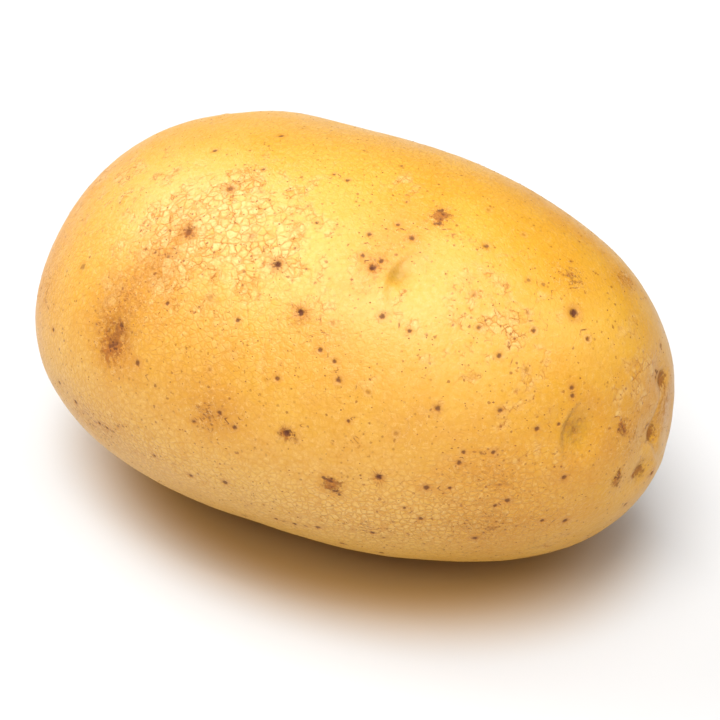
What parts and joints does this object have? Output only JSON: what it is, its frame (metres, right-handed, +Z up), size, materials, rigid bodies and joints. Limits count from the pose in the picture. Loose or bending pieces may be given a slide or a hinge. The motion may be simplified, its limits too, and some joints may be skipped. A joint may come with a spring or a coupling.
{
  "type": "potato",
  "caption": "Whole washed yellow potato, an oblong tuber with shallow eyes, lenticels and thin netted skin.",
  "frame": {"origin": "on the surface that the potato rests on, under the middle of its box", "axes": "+X along the tuber's length towards the rose end, where the eyes crowd together; +Z up, along its thinnest way; the front side faces -Y"},
  "size_m": [0.0978, 0.0662, 0.0579],
  "materials": {
    "skin": "thin, smooth, semi-gloss potato skin with russet netting, lenticels and small scabs"
  },
  "bodies": {
    "root": {"potato": "skin"}
  },
  "joints": []
}
